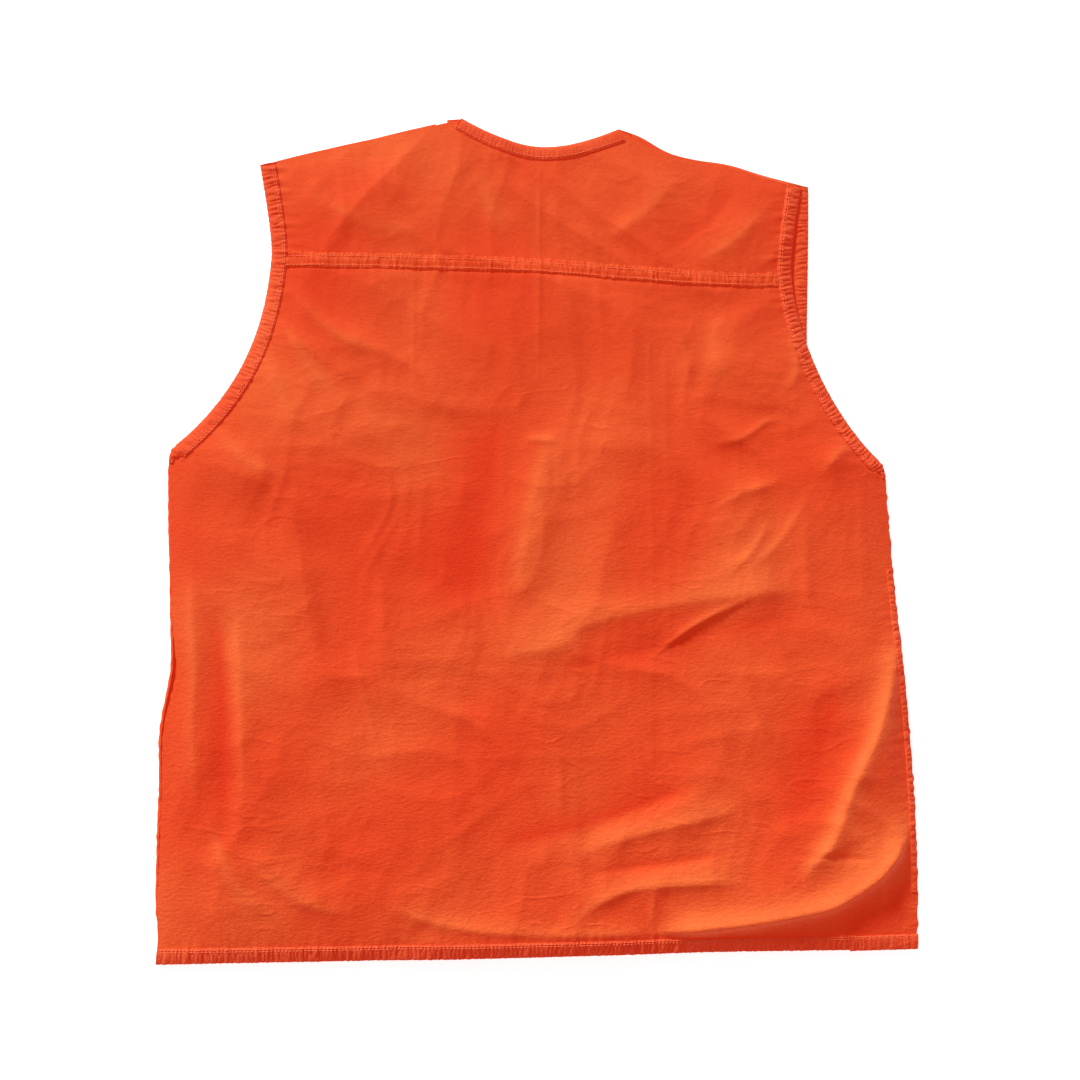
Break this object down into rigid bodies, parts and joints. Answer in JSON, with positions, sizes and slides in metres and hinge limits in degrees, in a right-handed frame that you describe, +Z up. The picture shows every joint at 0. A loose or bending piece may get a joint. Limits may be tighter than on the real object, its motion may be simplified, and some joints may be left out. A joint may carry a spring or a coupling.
{
  "type": "high visibility vest",
  "caption": "Blaze orange sleeveless safety vest laid flat with its back up: yoke, bound edges, front zipper left open, and flap pockets with press studs.",
  "frame": {"origin": "middle of the vest on the surface that it lies on", "axes": "+Z up through the back, +Y from the hem to the neck, +X towards the wearer's right"},
  "size_m": [0.634, 0.699, 0.0198],
  "materials": {
    "cloth": "woven, matte",
    "binding": "woven bias strip, matte",
    "coil": "nylon",
    "metal": "nickel plated"
  },
  "bodies": {
    "vest": {"back_panel": "cloth", "back_yoke": "cloth", "yoke_seam": "cloth", "neck_binding_back": "binding", "hem_binding_back": "binding", "left_front_panel": "cloth", "left_armhole_binding_back": "binding", "left_armhole_binding_front": "binding", "left_side_seam": "cloth", "left_shoulder_seam": "cloth", "left_hem_binding_front": "binding", "left_pocket": "cloth", "left_flap_seam": "cloth", "left_snap_stud": "metal", "right_front_panel": "cloth", "right_armhole_binding_back": "binding", "right_armhole_binding_front": "binding", "right_side_seam": "cloth", "right_shoulder_seam": "cloth", "right_hem_binding_front": "binding", "right_pocket": "cloth", "right_flap_seam": "cloth", "right_snap_stud": "metal"},
    "left_front_opening": {"left_front_strip": "cloth", "left_neck_binding": "binding", "left_hem_binding_strip": "binding", "left_zipper_tape": "binding", "left_zipper_coil": "coil", "left_top_stop": "metal", "retainer_box": "metal"},
    "right_front_opening": {"right_front_strip": "cloth", "right_neck_binding": "binding", "right_hem_binding_strip": "binding", "right_zipper_tape": "binding", "right_zipper_coil": "coil", "right_top_stop": "metal", "insertion_pin": "metal"},
    "slider": {"zipper_slider": "metal"},
    "pull": {"zipper_pull": "metal"},
    "left_flap": {"left_pocket_flap": "cloth", "left_snap_cap": "metal", "left_snap_socket": "metal"},
    "right_flap": {"right_pocket_flap": "cloth", "right_snap_cap": "metal", "right_snap_socket": "metal"}
  },
  "joints": [
    {"name": "left_front_fold", "type": "hinge", "parent": "vest", "child": "left_front_opening", "pos_m": [-0.086, 0, 0.0086], "axis": [0, 1, 0], "range_deg": [0, 150]},
    {"name": "right_front_fold", "type": "hinge", "parent": "vest", "child": "right_front_opening", "pos_m": [0.086, 0, 0.0086], "axis": [0, -1, 0], "range_deg": [0, 150]},
    {"name": "zipper_slide", "type": "slide", "parent": "left_front_opening", "child": "slider", "axis": [0, 1, 0], "range_m": [0, 0.5204]},
    {"name": "zipper_pull_swing", "type": "hinge", "parent": "slider", "child": "pull", "pos_m": [-0.0022, -0.3224, 0.006], "axis": [-1, 0, 0], "range_deg": [0, 170]},
    {"name": "left_flap_lift", "type": "hinge", "parent": "vest", "child": "left_flap", "pos_m": [-0.187, -0.1015, 0.00095], "axis": [1, 0, 0], "range_deg": [0, 180]},
    {"name": "right_flap_lift", "type": "hinge", "parent": "vest", "child": "right_flap", "pos_m": [0.187, -0.1015, 0.00095], "axis": [1, 0, 0], "range_deg": [0, 180]}
  ]
}
